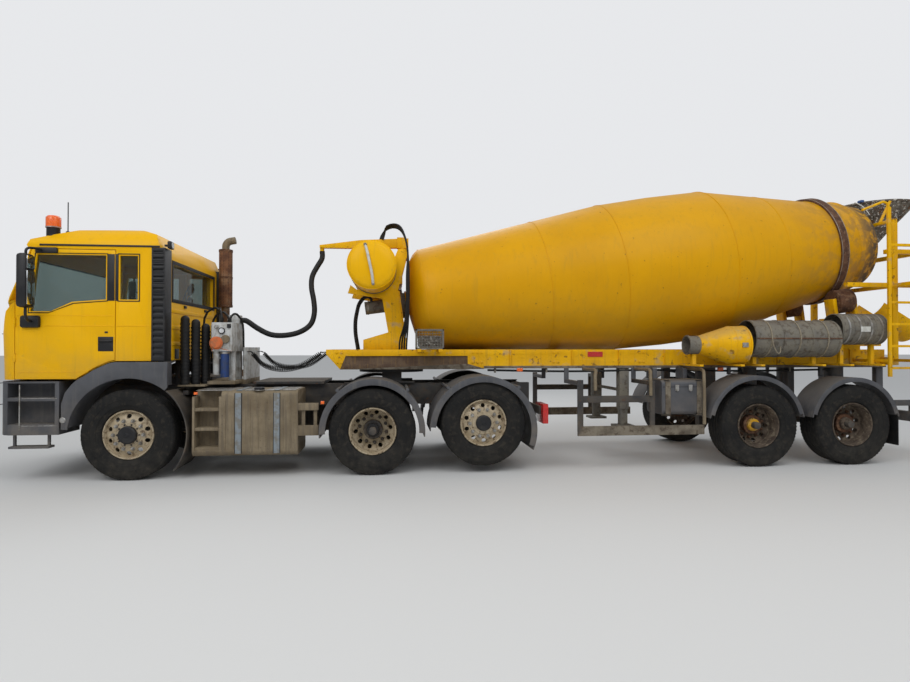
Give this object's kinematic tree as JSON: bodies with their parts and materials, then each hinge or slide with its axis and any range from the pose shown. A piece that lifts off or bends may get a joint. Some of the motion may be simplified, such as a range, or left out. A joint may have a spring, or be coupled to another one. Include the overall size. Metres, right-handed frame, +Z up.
{
  "type": "articulated concrete mixer lorry",
  "caption": "Articulated concrete mixer: yellow tractor with tilting cab, steered front wheels and fifth wheel, hinged to a semi-trailer with a turning drum, hopper and swing chute.",
  "frame": {"origin": "on the ground below the middle of the whole vehicle", "axes": "+X rearwards along the vehicle, +Y to its right side, +Z up"},
  "size_m": [12.43, 3.013, 3.83],
  "materials": {
    "yellow_paint": "gloss, dirty",
    "dark_metal": "satin, dusty",
    "cast_engine": "rough",
    "dark_plastic": "matte, faded",
    "black_plastic": "satin",
    "beige_paint": "dusty",
    "exhaust_rust": "rusty",
    "grey_metal": "worn, dusty",
    "window_glass": "clear, slightly green",
    "lamp_lens": "clear lens",
    "amber_lens": "amber lens",
    "seat_fabric": "woven",
    "tyre_rubber": "worn",
    "hose_rubber": "satin"
  },
  "bodies": {
    "tractor": {"tractor_frame": "dark_metal", "engine_block": "cast_engine", "front_axle": "dark_metal", "rear_axles": "dark_metal", "front_bumper": "dark_plastic", "tractor_lamps": "lamp_lens", "fuel_tank": "beige_paint", "battery_box": "dark_metal", "exhaust": "exhaust_rust", "hydraulic_unit": "grey_metal", "fifth_wheel": "dark_metal", "tractor_mudguards": "dark_plastic", "main_hose": "hose_rubber", "coiled_cables": "hose_rubber"},
    "cab": {"cab_shell": "yellow_paint", "cab_glass": "window_glass", "grille": "black_plastic", "cab_arches": "dark_plastic", "air_intake": "black_plastic", "beacon": "amber_lens", "seats": "seat_fabric", "dashboard": "black_plastic"},
    "door_l": {"door_left": "yellow_paint", "door_glass_left": "window_glass", "mirror_left": "black_plastic"},
    "door_r": {"door_right": "yellow_paint", "door_glass_right": "window_glass", "mirror_right": "black_plastic"},
    "knuckle_l": {"knuckle_left": "dark_metal"},
    "knuckle_r": {"knuckle_right": "dark_metal"},
    "trailer": {"trailer_frame": "yellow_paint", "drum_pedestal": "yellow_paint", "drum_gearbox": "dark_metal", "water_tank": "yellow_paint", "hose_arm": "yellow_paint", "rear_tower": "yellow_paint", "ladder": "yellow_paint", "hopper": "grey_metal", "stowed_funnel": "yellow_paint", "stowed_chutes": "grey_metal", "trailer_axles": "dark_metal", "trailer_guards": "dark_plastic", "toolbox": "grey_metal", "landing_legs": "grey_metal"},
    "drum": {"drum_shell": "yellow_paint", "drum_ring": "exhaust_rust"},
    "roller_l": {"roller_left": "exhaust_rust"},
    "roller_r": {"roller_right": "exhaust_rust"},
    "post": {"chute_post": "yellow_paint"},
    "trough": {"chute": "yellow_paint"},
    "wheel_front_l": {"wheel_front_left": "tyre_rubber"},
    "wheel_front_r": {"wheel_front_right": "tyre_rubber"},
    "wheel_drive_l": {"wheel_drive_left": "tyre_rubber"},
    "wheel_drive_r": {"wheel_drive_right": "tyre_rubber"},
    "wheel_tag_l": {"wheel_tag_left": "tyre_rubber"},
    "wheel_tag_r": {"wheel_tag_right": "tyre_rubber"},
    "wheel_trailer1_l": {"wheel_trailer1_left": "tyre_rubber"},
    "wheel_trailer1_r": {"wheel_trailer1_right": "tyre_rubber"},
    "wheel_trailer2_l": {"wheel_trailer2_left": "tyre_rubber"},
    "wheel_trailer2_r": {"wheel_trailer2_right": "tyre_rubber"}
  },
  "joints": [
    {"name": "cab_tilt", "type": "hinge", "parent": "tractor", "child": "cab", "pos_m": [-6.155, 0, 0.95], "axis": [0, -1, 0], "range_deg": [0, 55]},
    {"name": "door_left_swing", "type": "hinge", "parent": "cab", "child": "door_l", "pos_m": [-6.015, -1.215, 1.9], "axis": [0, 0, -1], "range_deg": [0, 70]},
    {"name": "door_right_swing", "type": "hinge", "parent": "cab", "child": "door_r", "pos_m": [-6.015, 1.215, 1.9], "axis": [0, 0, 1], "range_deg": [0, 70]},
    {"name": "steer_left", "type": "hinge", "parent": "tractor", "child": "knuckle_l", "pos_m": [-4.785, -0.86, 0.45], "axis": [0, 0, 1], "range_deg": [-35, 35]},
    {"name": "steer_right", "type": "hinge", "parent": "tractor", "child": "knuckle_r", "pos_m": [-4.785, 0.86, 0.45], "axis": [0, 0, 1], "range_deg": [-35, 35]},
    {"name": "articulation", "type": "hinge", "parent": "tractor", "child": "trailer", "pos_m": [-1.755, 0, 1.25], "axis": [0, 0, 1], "range_deg": [-70, 70], "deforming": ["main_hose", "coiled_cables"]},
    {"name": "drum_spin", "type": "hinge", "parent": "trailer", "child": "drum", "pos_m": [-1.435, 0, 2.18], "axis": [0.991, 0, 0.134], "continuous": true},
    {"name": "roller_left_spin", "type": "hinge", "parent": "trailer", "child": "roller_l", "pos_m": [4.6223, -0.55665, 2.1968], "axis": [0.991, 0, 0.134], "continuous": true},
    {"name": "roller_right_spin", "type": "hinge", "parent": "trailer", "child": "roller_r", "pos_m": [4.6223, 0.55665, 2.1968], "axis": [0.991, 0, 0.134], "continuous": true},
    {"name": "chute_swing", "type": "hinge", "parent": "trailer", "child": "post", "pos_m": [5.565, 0, 1.7], "axis": [0, 0, 1], "range_deg": [-75, 75]},
    {"name": "chute_tilt", "type": "hinge", "parent": "post", "child": "trough", "pos_m": [5.565, 0, 1.86], "axis": [0, 1, 0], "range_deg": [-20, 10]},
    {"name": "front_left_roll", "type": "hinge", "parent": "knuckle_l", "child": "wheel_front_l", "pos_m": [-4.785, -1.09, 0.525], "axis": [0, 1, 0], "continuous": true},
    {"name": "front_right_roll", "type": "hinge", "parent": "knuckle_r", "child": "wheel_front_r", "pos_m": [-4.785, 1.09, 0.525], "axis": [0, 1, 0], "continuous": true},
    {"name": "drive_left_roll", "type": "hinge", "parent": "tractor", "child": "wheel_drive_l", "pos_m": [-1.985, -1.09, 0.525], "axis": [0, 1, 0], "continuous": true},
    {"name": "drive_right_roll", "type": "hinge", "parent": "tractor", "child": "wheel_drive_r", "pos_m": [-1.985, 1.09, 0.525], "axis": [0, 1, 0], "continuous": true},
    {"name": "tag_left_roll", "type": "hinge", "parent": "tractor", "child": "wheel_tag_l", "pos_m": [-0.635, -1.09, 0.61], "axis": [0, 1, 0], "continuous": true},
    {"name": "tag_right_roll", "type": "hinge", "parent": "tractor", "child": "wheel_tag_r", "pos_m": [-0.635, 1.09, 0.61], "axis": [0, 1, 0], "continuous": true},
    {"name": "trailer1_left_roll", "type": "hinge", "parent": "trailer", "child": "wheel_trailer1_l", "pos_m": [2.955, -1.09, 0.525], "axis": [0, 1, 0], "continuous": true},
    {"name": "trailer1_right_roll", "type": "hinge", "parent": "trailer", "child": "wheel_trailer1_r", "pos_m": [2.955, 1.09, 0.525], "axis": [0, 1, 0], "continuous": true},
    {"name": "trailer2_left_roll", "type": "hinge", "parent": "trailer", "child": "wheel_trailer2_l", "pos_m": [4.265, -1.09, 0.525], "axis": [0, 1, 0], "continuous": true},
    {"name": "trailer2_right_roll", "type": "hinge", "parent": "trailer", "child": "wheel_trailer2_r", "pos_m": [4.265, 1.09, 0.525], "axis": [0, 1, 0], "continuous": true}
  ],
  "couplings": [
    {"joint": "steer_right", "follows": "steer_left", "ratio": 1},
    {"joint": "roller_left_spin", "follows": "drum_spin", "ratio": -4.7059},
    {"joint": "roller_right_spin", "follows": "drum_spin", "ratio": -4.7059}
  ]
}
